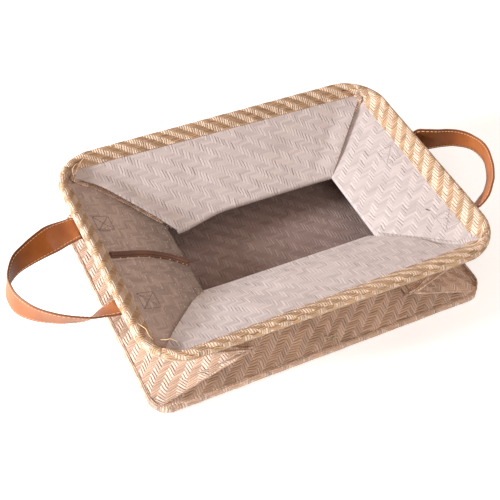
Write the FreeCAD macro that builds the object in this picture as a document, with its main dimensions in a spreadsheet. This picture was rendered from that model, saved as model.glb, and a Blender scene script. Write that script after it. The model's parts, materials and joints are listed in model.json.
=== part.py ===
"""Collapsible woven storage bin: rim ring, base, eight folding half walls, gussets and strap handles.

Frame: origin at the centre of the base's underside, +Z up, +X along the length, -Y towards the front.
It is modelled part folded, with every wall creased inwards at mid height.
"""
import FreeCAD, Part
import Sketcher
import math
import os

DRIVING = {
    # whole bin
    "rim_length": 380.0,
    "rim_width": 280.0,
    "rim_corner": 46.0,
    "roll_radius": 4.25,
    "wire_radius": 1.5,
    "wire_play": 0.2,
    "hinge_inset": 5.0,
    "roll_above_hinge": 4.85,
    "base_hinge_height": 7.6,
    # half walls: hinge to crease, and how far they lean inwards at rest
    "front_half": 94.2,
    "layer_step": 4.0,
    "front_lean": 68.7,
    # layers of a half wall
    "cover_thick": 1.1,
    "board_thick": 1.8,
    "lining_thick": 0.5,
    "board_inset": 3.0,
    "crease_gap": 1.0,
    # trapezoid outline of a front or back half wall
    "front_rim_gap": 3.5,
    "shoulder_rise": 8.5,
    "front_top_cut": 33.5,
    "front_shoulder_cut": 14.5,
    "front_crease_cut": 110.0,
    # rectangle outline of a left or right half wall
    "side_rim_gap": 1.2,
    "side_end_gap": 4.0,
    "side_corner": 35.0,
    # base
    "base_overhang": 1.4,
    "base_corner": 20.0,
    "base_upstand": 7.0,
    "base_board_inset": 5.0,
    "base_board_thick": 2.0,
    # hem of the outer weave, turned in over the lining
    "hem_thick": 0.8,
    "hem_width": 13.0,
    "hem_start": 3.0,
    "front_hem_cut": 34.0,
    "side_hem_cut": 24.0,
    "hem_flare": 9.0,
    # corner gussets
    "gusset_thick": 1.2,
    "gusset_gap": 0.3,
    "gusset_start": 27.0,
    "gusset_corner_cut": 3.0,
    "gusset_end_cut": 0.5,
    "gusset_depth": 64.0,
    "gusset_crease_gap": 2.2,
    # strap handles
    "strap_width": 25.0,
    "strap_thick": 2.0,
    "strap_spread": 53.0,
    "left_strap_leg": 15.0,
    "right_strap_leg": 1.0,
    "strap_root_low": 73.0,
    "strap_root_start": 188.5,
    "strap_root_end": 206.0,
    "strap_band_start": 205.0,
    "strap_band_low": 59.5,
    "strap_end_start": 2.0,
    "strap_end_length": 40.0,
    "left_handle_shift": -4.0,
    "right_handle_shift": -20.0,
    # box stitches that hold the strap ends, seen on the lining
    "stitch_size": 21.0,
    "stitch_thread": 0.7,
    "stitch_start": 19.0,
    # bound seam inside the left wall
    "binding_width": 4.0,
    "binding_thick": 1.8,
    "binding_start": 17.0,
    "binding_shift": 0.5,
}

doc = FreeCAD.newDocument("storage_bin")
sheet = doc.addObject("Spreadsheet::Sheet", "Sizes")
for row, (alias, number) in enumerate(DRIVING.items(), start=1):
    sheet.set(f"A{row}", alias)
    sheet.set(f"B{row}", str(number))
    sheet.setAlias(f"B{row}", alias)
doc.recompute()


def size(alias):
    """The number in the sheet's cell of that name."""
    return float(sheet.get(alias))


PANEL_THICK = size("cover_thick") + size("board_thick") + size("lining_thick")
SIDE_HALF = size("front_half") - size("layer_step")
HALF_LENGTH = size("rim_length") / 2 - size("hinge_inset")
HALF_WIDTH = size("rim_width") / 2 - size("hinge_inset")
FRONT_LEAN = math.radians(size("front_lean"))
FRONT_HALF_RISE = size("front_half") * math.cos(FRONT_LEAN)
SIDE_HALF_RISE = FRONT_HALF_RISE - size("layer_step")
SIDE_LEAN = math.acos(SIDE_HALF_RISE / SIDE_HALF)
FRONT_LOW_HINGE = size("base_hinge_height")
FRONT_TOP_HINGE = FRONT_LOW_HINGE + 2 * FRONT_HALF_RISE
SIDE_LOW_HINGE = FRONT_LOW_HINGE + size("layer_step")
SIDE_TOP_HINGE = FRONT_TOP_HINGE - size("layer_step")
ROLL_CENTRE = FRONT_TOP_HINGE + size("roll_above_hinge")

WALL_TURN = {"front": 0.0, "right": 90.0, "back": 180.0, "left": 270.0}
Z_AXIS = FreeCAD.Vector(0, 0, 1)


def wall_placement(wall, half, lift=0.0):
    """Frame of a half wall: X along its hinge, Y down the slope to the crease, Z from its outer face inwards."""
    side = wall in ("left", "right")
    lean = SIDE_LEAN if side else FRONT_LEAN
    reach = HALF_LENGTH if side else HALF_WIDTH
    sine, cosine = math.sin(lean), math.cos(lean)
    if half == "upper":
        height = SIDE_TOP_HINGE if side else FRONT_TOP_HINGE
        axes = [(1, 0, 0), (0, sine, -cosine), (0, cosine, sine)]
    else:
        height = SIDE_LOW_HINGE if side else FRONT_LOW_HINGE
        axes = [(-1, 0, 0), (0, sine, cosine), (0, cosine, -sine)]
    x_axis, y_axis, z_axis = [FreeCAD.Vector(*axis) for axis in axes]
    origin = FreeCAD.Vector(0, -reach, height) + z_axis * lift
    local = FreeCAD.Placement(origin, FreeCAD.Rotation(x_axis, y_axis, z_axis, "ZXY"))
    turn = FreeCAD.Placement(FreeCAD.Vector(), FreeCAD.Rotation(Z_AXIS, WALL_TURN[wall]))
    return turn * local


def new_body(label):
    body = doc.addObject("PartDesign::Body", label)
    body.Label = label
    return body


def sketch_on(body, role="XY_Plane"):
    """An empty sketch on one of the body's own origin planes."""
    sketch = body.newObject("Sketcher::SketchObject", body.Name + "_sketch")
    plane = next(feature for feature in body.Origin.OriginFeatures if feature.Role == role)
    sketch.AttachmentSupport = [(plane, "")]
    sketch.MapMode = "FlatFace"
    return sketch


def set_distance(sketch, kind, geometry, end, expression):
    """Fixes one coordinate of a point by a length from the sheet; a coordinate of zero stays on the axis."""
    value = float(sketch.evalExpression(expression))
    if abs(value) < 1e-9:
        axis = -2 if kind == "DistanceX" else -1
        sketch.addConstraint(Sketcher.Constraint("PointOnObject", geometry, end, axis))
        return
    number = sketch.addConstraint(Sketcher.Constraint(kind, -1, 1, geometry, end, value))
    sketch.setExpression(f"Constraints[{number}]", expression)


def add_polygon(sketch, corners):
    """A closed outline of straight edges whose corners are pairs of expressions."""
    points = [
        FreeCAD.Vector(sketch.evalExpression(x), sketch.evalExpression(y), 0) for x, y in corners
    ]
    first = sketch.GeometryCount
    count = len(points)
    for index in range(count):
        sketch.addGeometry(Part.LineSegment(points[index], points[(index + 1) % count]))
    for index in range(count):
        following = first + (index + 1) % count
        sketch.addConstraint(Sketcher.Constraint("Coincident", first + index, 2, following, 1))
    for index, (x, y) in enumerate(corners):
        set_distance(sketch, "DistanceX", first + index, 1, x)
        set_distance(sketch, "DistanceY", first + index, 1, y)


def add_rounded_rectangle(sketch, half_x, half_y, radius):
    """A centred rounded rectangle: half sizes and corner radius are expressions."""
    hx, hy, r = [float(sketch.evalExpression(text)) for text in (half_x, half_y, radius)]
    first = sketch.GeometryCount
    centres = [(hx - r, hy - r), (r - hx, hy - r), (r - hx, r - hy), (hx - r, r - hy)]
    for quarter, (cx, cy) in enumerate(centres):
        start = quarter * math.pi / 2
        circle = Part.Circle(FreeCAD.Vector(cx, cy, 0), Z_AXIS, r)
        sketch.addGeometry(Part.ArcOfCircle(circle, start, start + math.pi / 2))
    for quarter in range(4):
        arc, following = first + quarter, first + (quarter + 1) % 4
        ends = [sketch.getPoint(arc, 2), sketch.getPoint(following, 1)]
        line = sketch.addGeometry(Part.LineSegment(*ends))
        sketch.addConstraint(Sketcher.Constraint("Tangent", arc, 2, line, 1))
        sketch.addConstraint(Sketcher.Constraint("Tangent", line, 2, following, 1))
        level = "Horizontal" if quarter % 2 == 0 else "Vertical"
        sketch.addConstraint(Sketcher.Constraint(level, line))
    for quarter in range(1, 4):
        sketch.addConstraint(Sketcher.Constraint("Equal", first, first + quarter))
    number = sketch.addConstraint(Sketcher.Constraint("Radius", first, r))
    sketch.setExpression(f"Constraints[{number}]", radius)
    set_distance(sketch, "DistanceX", first, 3, f"{half_x} - {radius}")
    set_distance(sketch, "DistanceY", first, 3, f"{half_y} - {radius}")
    set_distance(sketch, "DistanceX", first + 2, 3, f"{radius} - ({half_x})")
    set_distance(sketch, "DistanceY", first + 2, 3, f"{radius} - ({half_y})")


def pad(body, sketch, length):
    feature = body.newObject("PartDesign::Pad", body.Name + "_pad")
    feature.Profile = sketch
    feature.setExpression("Length", length)
    return feature


def plate(label, corners, thickness, placement):
    """A flat plate with a straight-edged outline."""
    body = new_body(label)
    sketch = sketch_on(body)
    add_polygon(sketch, corners)
    body.Tip = pad(body, sketch, thickness)
    body.Placement = placement
    return body


def round_hinge_corners(body, radius):
    """Rounds the two corners of a plate next to its hinge line."""
    doc.recompute()
    flat = body.Tip
    low = min(vertex.Point.y for vertex in flat.Shape.Vertexes)
    edges = []
    for number, edge in enumerate(flat.Shape.Edges, start=1):
        ends = [vertex.Point for vertex in edge.Vertexes]
        upright = (ends[0] - ends[1]).cross(Z_AXIS).Length < 1e-6
        if upright and all(abs(point.y - low) < 1e-6 for point in ends):
            edges.append(f"Edge{number}")
    fillet = body.newObject("PartDesign::Fillet", body.Name + "_corners")
    fillet.Base = (flat, edges)
    fillet.setExpression("Radius", radius)
    body.Tip = fillet


HALF_X = "(Sizes.rim_length / 2 - Sizes.hinge_inset)"
HALF_Y = "(Sizes.rim_width / 2 - Sizes.hinge_inset)"
SIDE_SLOPE = "(Sizes.front_half - Sizes.layer_step)"


def front_outline(inset):
    """A front or back half wall: a trapezoid whose slanted ends clear the side walls as they fold."""
    rim = f"Sizes.front_rim_gap + {inset}"
    crease = f"Sizes.front_half - Sizes.crease_gap - {inset}"
    right = [
        (f"{HALF_X} - Sizes.front_top_cut - {inset}", rim),
        (f"{HALF_X} - Sizes.front_shoulder_cut - 1.5 * {inset}", f"{rim} + Sizes.shoulder_rise"),
        (f"{HALF_X} - Sizes.front_crease_cut", crease),
    ]
    left = [(f"-({x})", y) for x, y in reversed(right)]
    return right + left


def side_outline(inset):
    """A left or right half wall: a full rectangle."""
    half = f"{HALF_Y} - Sizes.side_end_gap - {inset}"
    rim = f"Sizes.side_rim_gap + {inset}"
    crease = f"{SIDE_SLOPE} - Sizes.crease_gap - {inset}"
    return [(half, rim), (half, crease), (f"-({half})", crease), (f"-({half})", rim)]


def make_half_wall(wall, half):
    """Outer cover, stiffening board and lining of one half wall, from the outside in."""
    side = wall in ("left", "right")
    layers = [
        ("cover", "Sizes.cover_thick", "0", 0.0),
        ("board", "Sizes.board_thick", "Sizes.board_inset", size("cover_thick")),
        ("lining", "Sizes.lining_thick", "0", size("cover_thick") + size("board_thick")),
    ]
    for layer, thickness, inset, lift in layers:
        outline = side_outline(inset) if side else front_outline(inset)
        placement = wall_placement(wall, half, lift)
        body = plate(f"{wall}_{half}_{layer}", outline, thickness, placement)
        if side:
            round_hinge_corners(body, f"Sizes.side_corner - {inset}")


def make_hem(wall):
    """The outer weave turned in over the rim and sewn down on the lining of an upper half wall."""
    side = wall in ("left", "right")
    half = f"{HALF_Y} - Sizes.side_hem_cut" if side else f"{HALF_X} - Sizes.front_hem_cut"
    wide = half if side else f"{half} + Sizes.hem_flare"
    start = "Sizes.hem_start" if side else "Sizes.hem_start + 1"
    end = f"{start} + Sizes.hem_width"
    corners = [(half, start), (wide, end), (f"-({wide})", end), (f"-({half})", start)]
    plate(f"{wall}_hem", corners, "Sizes.hem_thick", wall_placement(wall, "upper", PANEL_THICK))


def make_gusset(wall, half, end):
    """Fold of corner fabric, tucked flat against the inside of a side half wall."""
    along_x = {("left", "upper"): -1, ("left", "lower"): 1, ("right", "upper"): 1, ("right", "lower"): -1}
    front = end == "front"
    sign = -along_x[wall, half] if front else along_x[wall, half]
    outer = f"{HALF_Y} - Sizes.side_end_gap"
    crease = f"{SIDE_SLOPE} - Sizes.gusset_crease_gap"
    corners = [
        (f"{sign} * ({outer} - Sizes.gusset_corner_cut)", "Sizes.gusset_start"),
        (f"{sign} * ({outer} - Sizes.gusset_end_cut)", crease),
        (f"{sign} * ({outer} - Sizes.gusset_depth)", crease),
    ]
    lift = PANEL_THICK + size("gusset_gap")
    placement = wall_placement(wall, half, lift)
    plate(f"{end}_{wall}_{half}_gusset", corners, "Sizes.gusset_thick", placement)


def make_base():
    """Base: a shallow woven tray, a board on its floor and the lining over that."""
    cover = new_body("base_cover")
    outline = sketch_on(cover)
    half_x = f"({HALF_X} + Sizes.base_overhang)"
    half_y = f"({HALF_Y} + Sizes.base_overhang)"
    add_rounded_rectangle(outline, half_x, half_y, "Sizes.base_corner")
    tray = pad(cover, outline, "Sizes.base_upstand")
    doc.recompute()
    hollow = sketch_on(cover)
    hollow.AttachmentOffset = FreeCAD.Placement(
        FreeCAD.Vector(0, 0, size("base_upstand")), FreeCAD.Rotation()
    )
    hollow.setExpression("AttachmentOffset.Base.z", "Sizes.base_upstand")
    wall = "(Sizes.cover_thick)"
    add_rounded_rectangle(
        hollow, f"({half_x} - {wall})", f"({half_y} - {wall})", f"(Sizes.base_corner - {wall})"
    )
    pocket = cover.newObject("PartDesign::Pocket", "base_hollow")
    pocket.Profile = hollow
    pocket.setExpression("Length", "Sizes.base_upstand - Sizes.cover_thick")
    cover.Tip = pocket
    doc.recompute()
    if pocket.Shape.Volume > 0.5 * tray.Shape.Volume:
        raise RuntimeError("the base tray isn't hollow")

    layers = [
        ("base_board", "Sizes.base_board_thick", "0", size("cover_thick")),
        ("base_lining", "Sizes.lining_thick", "1", size("cover_thick") + size("base_board_thick")),
    ]
    for label, thickness, growth, height in layers:
        body = new_body(label)
        sketch = sketch_on(body)
        add_rounded_rectangle(
            sketch,
            f"({HALF_X} - Sizes.base_board_inset + {growth})",
            f"({HALF_Y} - Sizes.base_board_inset + {growth})",
            f"(Sizes.base_corner - Sizes.base_board_inset + {growth})",
        )
        body.Tip = pad(body, sketch, thickness)
        body.Placement = FreeCAD.Placement(FreeCAD.Vector(0, 0, height), FreeCAD.Rotation())


def ring_section(body, name, radius):
    """A circle where the rim's centre line crosses the YZ plane at the back."""
    section = sketch_on(body, "YZ_Plane")
    section.Label = name
    middle = "Sizes.rim_width / 2 - Sizes.roll_radius"
    centre = FreeCAD.Vector(section.evalExpression(middle), 0, 0)
    circle = section.addGeometry(Part.Circle(centre, Z_AXIS, section.evalExpression(radius)))
    limit = section.addConstraint(
        Sketcher.Constraint("Radius", circle, section.evalExpression(radius))
    )
    section.setExpression(f"Constraints[{limit}]", radius)
    set_distance(section, "DistanceX", circle, 3, middle)
    section.addConstraint(Sketcher.Constraint("PointOnObject", circle, 3, -1))
    return section


def make_ring(label, radius, bore=None):
    """A round bar swept round the rim's rounded rectangle, with a bore along it if one is given."""
    body = new_body(label)
    path = sketch_on(body)
    path.Label = label + "_path"
    add_rounded_rectangle(
        path,
        "(Sizes.rim_length / 2 - Sizes.roll_radius)",
        "(Sizes.rim_width / 2 - Sizes.roll_radius)",
        "(Sizes.rim_corner - Sizes.roll_radius)",
    )
    ring = body.newObject("PartDesign::AdditivePipe", label + "_pipe")
    ring.Profile = ring_section(body, label + "_section", radius)
    ring.Spine = path
    body.Tip = ring
    if bore:
        doc.recompute()
        solid_volume = ring.Shape.Volume
        hollow = body.newObject("PartDesign::SubtractivePipe", label + "_bore")
        hollow.Profile = ring_section(body, label + "_bore_section", bore)
        hollow.Spine = path
        body.Tip = hollow
        doc.recompute()
        if hollow.Shape.Volume > 0.95 * solid_volume:
            raise RuntimeError(f"{label} has no bore")
    body.Placement = FreeCAD.Placement(FreeCAD.Vector(0, 0, ROLL_CENTRE), FreeCAD.Rotation())


def expression_box(name, length, width, height, placement):
    """A Part box with its three sizes from the sheet."""
    box = doc.addObject("Part::Box", name)
    box.setExpression("Length", length)
    box.setExpression("Width", width)
    box.setExpression("Height", height)
    box.Placement = placement
    return box


def fuse(label, shapes):
    joined = doc.addObject("Part::MultiFuse", label)
    joined.Label = label
    joined.Shapes = shapes
    return joined


def handle_frame(side):
    """World frame of a handle: X points away from the wall."""
    turn = 180.0 if side == "left" else 0.0
    shift = size(f"{side}_handle_shift")
    return FreeCAD.Placement(FreeCAD.Vector(0, shift, 0), FreeCAD.Rotation(Z_AXIS, turn))


def make_strap(side):
    """The free loop of a strap handle: two flat roots under the rim and a band on edge between them."""
    spread, leg = size("strap_spread"), size(f"{side}_strap_leg")
    thick, start = size("strap_thick"), size("strap_band_start")
    frame = handle_frame(side)
    band = doc.addObject("Part::Cut", f"{side}_band")
    solids = []
    for name, grow in (("outside", thick / 2), ("inside", -thick / 2)):
        legs = doc.addObject("Part::Box", f"{side}_{name}_legs")
        legs.setExpression("Length", f"Sizes.{side}_strap_leg")
        sign = "+" if grow > 0 else "-"
        legs.setExpression("Width", f"2 * Sizes.strap_spread {sign} Sizes.strap_thick")
        legs.setExpression("Height", "Sizes.strap_width")
        base = FreeCAD.Vector(start, -spread - grow, size("strap_band_low"))
        legs.Placement = frame * FreeCAD.Placement(base, FreeCAD.Rotation())
        bend = doc.addObject("Part::Cylinder", f"{side}_{name}_bend")
        bend.setExpression("Radius", f"Sizes.strap_spread {sign} Sizes.strap_thick / 2")
        bend.setExpression("Height", "Sizes.strap_width")
        bend.Angle = 180
        centre = FreeCAD.Vector(start + leg, 0, size("strap_band_low"))
        bend.Placement = frame * FreeCAD.Placement(centre, FreeCAD.Rotation(Z_AXIS, -90))
        solids.append(fuse(f"{side}_{name}_solid", [legs, bend]))
    band.Base, band.Tool = solids
    pieces = [band]
    for index, centre in enumerate((-spread, spread)):
        base = FreeCAD.Vector(
            size("strap_root_start"), centre - size("strap_width") / 2, size("strap_root_low")
        )
        pieces.append(
            expression_box(
                f"{side}_root_{index}",
                "Sizes.strap_root_end - Sizes.strap_root_start",
                "Sizes.strap_width",
                "Sizes.strap_thick",
                frame * FreeCAD.Placement(base, FreeCAD.Rotation()),
            )
        )
    fuse(f"{side}_handle_strap", pieces)


def strap_end_centres(side):
    """Local X of the two strap ends on a side wall's upper half."""
    along = -1 if side == "left" else 1
    shift = size(f"{side}_handle_shift")
    return [along * (shift + spread) for spread in (-size("strap_spread"), size("strap_spread"))]


def make_strap_ends(side):
    """The two ends of a strap, sewn flat on the outside of the side wall's upper half."""
    ends = []
    for index, centre in enumerate(strap_end_centres(side)):
        corner = FreeCAD.Vector(
            centre - size("strap_width") / 2, size("strap_end_start"), -size("strap_thick")
        )
        placement = wall_placement(side, "upper") * FreeCAD.Placement(corner, FreeCAD.Rotation())
        ends.append(
            expression_box(
                f"{side}_end_{index}",
                "Sizes.strap_width",
                "Sizes.strap_end_length",
                "Sizes.strap_thick",
                placement,
            )
        )
    compound = doc.addObject("Part::Compound", f"{side}_handle_ends")
    compound.Label = f"{side}_handle_ends"
    compound.Links = ends


def make_box_stitches(side):
    """A stitched square crossed corner to corner at each strap end, lying on the lining."""
    squares = []
    length, thread = size("stitch_size"), size("stitch_thread")
    surface = wall_placement(side, "upper", PANEL_THICK)
    for index, centre in enumerate(strap_end_centres(side)):
        middle = FreeCAD.Vector(centre, size("stitch_start") + length / 2, 0)
        runs = []
        sides = [(0, length / 2, 1.0), (90, length / 2, 1.0), (180, length / 2, 1.0), (270, length / 2, 1.0)]
        diagonals = [(45, 0.0, math.sqrt(2)), (135, 0.0, math.sqrt(2))]
        for number, (turn, offset, stretch) in enumerate(sides + diagonals):
            overrun = 0.0 if offset else -1.0
            rotation = FreeCAD.Rotation(Z_AXIS, turn)
            start = -(length * stretch + overrun) / 2
            corner = rotation.multVec(FreeCAD.Vector(start, offset - thread / 2, 0))
            runs.append(
                expression_box(
                    f"{side}_run_{index}_{number}",
                    f"Sizes.stitch_size * {stretch} + {overrun}",
                    "Sizes.stitch_thread",
                    "Sizes.stitch_thread",
                    surface * FreeCAD.Placement(middle + corner, rotation),
                )
            )
        squares.append(fuse(f"{side}_square_{index}", runs))
    compound = doc.addObject("Part::Compound", f"{side}_handle_stitches")
    compound.Label = f"{side}_handle_stitches"
    compound.Links = squares


def make_binding(half):
    """The bound seam allowance that runs down the lining of the left wall."""
    half_width = "Sizes.binding_width / 2"
    end = f"{SIDE_SLOPE} - Sizes.crease_gap"
    corners = [
        (f"Sizes.binding_shift + {half_width}", "Sizes.binding_start"),
        (f"Sizes.binding_shift + {half_width}", end),
        (f"Sizes.binding_shift - {half_width}", end),
        (f"Sizes.binding_shift - {half_width}", "Sizes.binding_start"),
    ]
    placement = wall_placement("left", half, PANEL_THICK)
    plate(f"left_{half}_seam_binding", corners, "Sizes.binding_thick", placement)


make_base()
for wall in WALL_TURN:
    for half in ("lower", "upper"):
        make_half_wall(wall, half)
    make_hem(wall)
make_ring("rim_wire", "Sizes.wire_radius")
make_ring("rim_roll", "Sizes.roll_radius", "Sizes.wire_radius + Sizes.wire_play")
for wall in ("left", "right"):
    for half in ("lower", "upper"):
        for end in ("front", "back"):
            make_gusset(wall, half, end)
    make_strap(wall)
    make_strap_ends(wall)
    make_box_stitches(wall)
for half in ("lower", "upper"):
    make_binding(half)
doc.recompute()

failed = [o.Name for o in doc.Objects if "Invalid" in o.State or "Error" in o.State]
if failed:
    raise RuntimeError(f"objects that failed to recompute: {failed}")

LAYERS = ("cover", "board", "lining")
nodes = [f"{wall}_{half}_{layer}" for wall in WALL_TURN for half in ("lower", "upper") for layer in LAYERS]
nodes += [f"base_{layer}" for layer in LAYERS]
nodes += [f"{wall}_hem" for wall in WALL_TURN]
nodes += ["rim_wire", "rim_roll"]
nodes += [
    f"{end}_{wall}_{half}_gusset"
    for end in ("front", "back")
    for wall in ("left", "right")
    for half in ("lower", "upper")
]
nodes += [f"{side}_handle_{piece}" for side in ("left", "right") for piece in ("strap", "ends", "stitches")]
nodes += [f"left_{half}_seam_binding" for half in ("lower", "upper")]

os.makedirs("parts", exist_ok=True)
for label in nodes:
    found = doc.getObjectsByLabel(label)
    if len(found) != 1:
        raise RuntimeError(f"{label} is made {len(found)} times")
    shape = found[0].Shape
    if shape.isNull() or not shape.isValid() or not shape.Solids:
        raise RuntimeError(f"{label} has no valid solid")
    shape.exportStep(os.path.join("parts", label + ".step"))
    print(f"{label}: {len(shape.Solids)} solid(s), {shape.Volume:.0f} mm3")
print(f"{len(nodes)} nodes, side lean {math.degrees(SIDE_LEAN):.3f} degrees, rim centre {ROLL_CENTRE:.3f}")
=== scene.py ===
"""Looks of the collapsible woven storage bin: woven covers and linings, rolled rim, strap handles, base."""
import json
import math
import bmesh
import bpy
import numpy as np
from mathutils import Matrix, Vector


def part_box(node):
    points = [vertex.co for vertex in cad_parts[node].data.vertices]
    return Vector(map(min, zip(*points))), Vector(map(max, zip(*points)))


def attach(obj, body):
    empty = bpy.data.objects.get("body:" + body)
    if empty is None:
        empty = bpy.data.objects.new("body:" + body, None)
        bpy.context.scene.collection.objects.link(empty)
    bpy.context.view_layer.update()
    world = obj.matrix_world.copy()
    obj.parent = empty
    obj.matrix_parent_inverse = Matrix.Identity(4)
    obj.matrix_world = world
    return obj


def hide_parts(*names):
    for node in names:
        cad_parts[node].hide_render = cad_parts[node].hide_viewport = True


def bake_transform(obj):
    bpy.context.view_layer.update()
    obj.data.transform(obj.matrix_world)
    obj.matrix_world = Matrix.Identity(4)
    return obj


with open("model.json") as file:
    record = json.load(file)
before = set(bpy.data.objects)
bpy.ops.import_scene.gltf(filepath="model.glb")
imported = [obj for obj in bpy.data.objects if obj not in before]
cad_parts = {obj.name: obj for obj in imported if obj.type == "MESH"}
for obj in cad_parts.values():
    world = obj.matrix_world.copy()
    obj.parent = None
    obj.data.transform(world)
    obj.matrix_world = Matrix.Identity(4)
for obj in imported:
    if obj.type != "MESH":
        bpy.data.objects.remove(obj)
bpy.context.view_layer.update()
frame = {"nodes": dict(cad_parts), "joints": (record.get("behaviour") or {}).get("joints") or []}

MM = 0.001

# ---------------------------------------------------------------- frame, in millimetres
JOINTS = {joint["name"]: np.array(joint["pos_m"]) / MM for joint in frame["joints"]}
HALF_X = abs(JOINTS["left_rim_hinge"][0])
HALF_Y = abs(JOINTS["fold"][1])
FRONT_LOW = JOINTS["fold"][2]
FRONT_TOP = JOINTS["front_rim_hinge"][2]
SIDE_LOW = JOINTS["left_base_hinge"][2]
SIDE_TOP = JOINTS["left_rim_hinge"][2]
CREASE_Z = JOINTS["front_crease"][2]
FRONT_HALF = float(np.linalg.norm((JOINTS["front_crease"] - JOINTS["fold"])[1:]))
SIDE_HALF = FRONT_HALF - (SIDE_LOW - FRONT_LOW)
FRONT_LEAN = math.acos((CREASE_Z - FRONT_LOW) / FRONT_HALF)
SIDE_LEAN = math.acos((CREASE_Z - SIDE_LOW) / SIDE_HALF)
FRONT_REACH = FRONT_HALF * math.sin(FRONT_LEAN)
SIDE_REACH = SIDE_HALF * math.sin(SIDE_LEAN)
ROLL_LOW, ROLL_HIGH = [np.array(corner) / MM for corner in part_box("rim_roll")]
ROLL_RADIUS = (ROLL_HIGH[2] - ROLL_LOW[2]) / 2
ROLL_Z = (ROLL_HIGH[2] + ROLL_LOW[2]) / 2
RIM_X, RIM_Y = ROLL_HIGH[0], ROLL_HIGH[1]
RIM_CORNER = 46.0
BASE_CORNER = 20.0
BACK_BASE_CORNER = 33.0
RIGHT_SHORT = 8.0    # the cloth of the base stops this much short at its right end
FLOOR_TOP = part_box("base_lining")[1][2] / MM

PANEL = 3.4          # thickness of a half wall
COVER = 1.5          # its outer weave
TIP_GAP = 4.0        # crease tips of the side walls stop this far short of the corner
TIP_CORNER = 3.0     # their plan radius
FLAP_WIDTH = 15.0    # spare cloth behind the side creases at the corners
CAP_TURN = math.radians(80)    # how far the cloth turns round a crease
NOSE_TURN = math.radians(90)   # and round a hinge
LINING_START = 2.5   # where the linings begin, under the hem and above the base
FOLD_END = 1.6       # where the side walls' corner folds end: 1 is the start of the corner, 2 its far end

WALL_TURN = {"front": 0.0, "right": 90.0, "back": 180.0, "left": 270.0}
HALVES = ("lower", "upper")
SEEDS = {"front": 3, "back": 5, "left": 21, "right": 23}
CLOTH_SEED = {"front": 30.0, "back": 50.0, "left": 70.0, "right": 90.0}


# ---------------------------------------------------------------- small helpers
def base_corner(sign):
    """Corner radius of the base at its front (sign below 0) or back."""
    return BACK_BASE_CORNER if sign > 0 else BASE_CORNER


def wall_seed(wall, half):
    """Seed of a half wall's swell, shared by its cover, lining, board and gussets."""
    return SEEDS[wall] + (10 if half == "lower" else 0)


def place_name(end):
    return "front" if end < 0 else "back"


def smooth(x):
    x = np.clip(x, 0.0, 1.0)
    return x * x * (3 - 2 * x)


def ripple(u, v, seed, wave=60.0):
    """Slow uneven swell from -1 to 1, the same each run."""
    rng = np.random.default_rng(seed)
    total = 0.0
    for _ in range(5):
        angle = rng.uniform(0, 2 * math.pi)
        length = wave * rng.uniform(0.5, 1.6)
        phase = rng.uniform(0, 2 * math.pi)
        total = total + np.sin(
            (u * math.cos(angle) + v * math.sin(angle)) * 2 * math.pi / length + phase
        )
    return total / 5


def mesh_object(name, points, faces, cloth=None, materials=()):
    """A mesh from points in millimetres, with the cloth's own coordinates kept on each point."""
    mesh = bpy.data.meshes.new(name)
    mesh.from_pydata((np.asarray(points) * MM).tolist(), [], faces)
    mesh.update()
    if cloth is not None:
        attribute = mesh.attributes.new("cloth", "FLOAT_VECTOR", "POINT")
        attribute.data.foreach_set("vector", np.asarray(cloth, np.float32).ravel())
    obj = bpy.data.objects.new(name, mesh)
    bpy.context.scene.collection.objects.link(obj)
    work = bmesh.new()
    work.from_mesh(mesh)
    bmesh.ops.recalc_face_normals(work, faces=work.faces)
    work.to_mesh(mesh)
    work.free()
    mesh.polygons.foreach_set("use_smooth", [True] * len(mesh.polygons))
    for material in materials:
        mesh.materials.append(material)
    return obj


def slab_parts(low, high, cloth):
    """Points, faces and cloth coordinates of a closed sheet between two grids, with rounded edges."""
    rows, columns = low.shape[:2]
    count = rows * columns
    points = [low.reshape(-1, 3), high.reshape(-1, 3)]
    coordinates = [cloth.reshape(-1, 3), cloth.reshape(-1, 3)]
    index = np.arange(count).reshape(rows, columns)
    a, b, c, d = index[:-1, :-1], index[1:, :-1], index[1:, 1:], index[:-1, 1:]
    quads = np.stack([a, b, c, d], -1).reshape(-1, 4)
    faces = quads.tolist() + (quads[:, ::-1] + count).tolist()
    edge = [(0, j) for j in range(columns)]
    edge += [(i, columns - 1) for i in range(1, rows)]
    edge += [(rows - 1, j) for j in range(columns - 2, -1, -1)]
    edge += [(i, 0) for i in range(rows - 2, 0, -1)]
    middle = (low + high) / 2
    ring = []
    for i, j in edge:
        inner = middle[min(max(i, 1), rows - 2), min(max(j, 1), columns - 2)]
        away = middle[i, j] - inner
        length = np.linalg.norm(away)
        thick = np.linalg.norm(high[i, j] - low[i, j])
        ring.append(middle[i, j] + (away / length if length > 1e-6 else away) * thick * 0.45)
    points.append(np.array(ring))
    coordinates.append(np.array([cloth[i, j] for i, j in edge]))
    total = len(edge)
    for n in range(total):
        m = (n + 1) % total
        p, q = index[edge[n]], index[edge[m]]
        r, s = 2 * count + n, 2 * count + m
        faces.append([int(p), int(q), s, r])
        faces.append([r, s, int(q) + count, int(p) + count])
    return np.concatenate(points), faces, np.concatenate(coordinates)


def join_parts(parts):
    points, faces, cloth, start = [], [], [], 0
    for part_points, part_faces, part_cloth in parts:
        points.append(part_points)
        cloth.append(part_cloth)
        faces += [[corner + start for corner in face] for face in part_faces]
        start += len(part_points)
    return np.concatenate(points), faces, np.concatenate(cloth)


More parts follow.
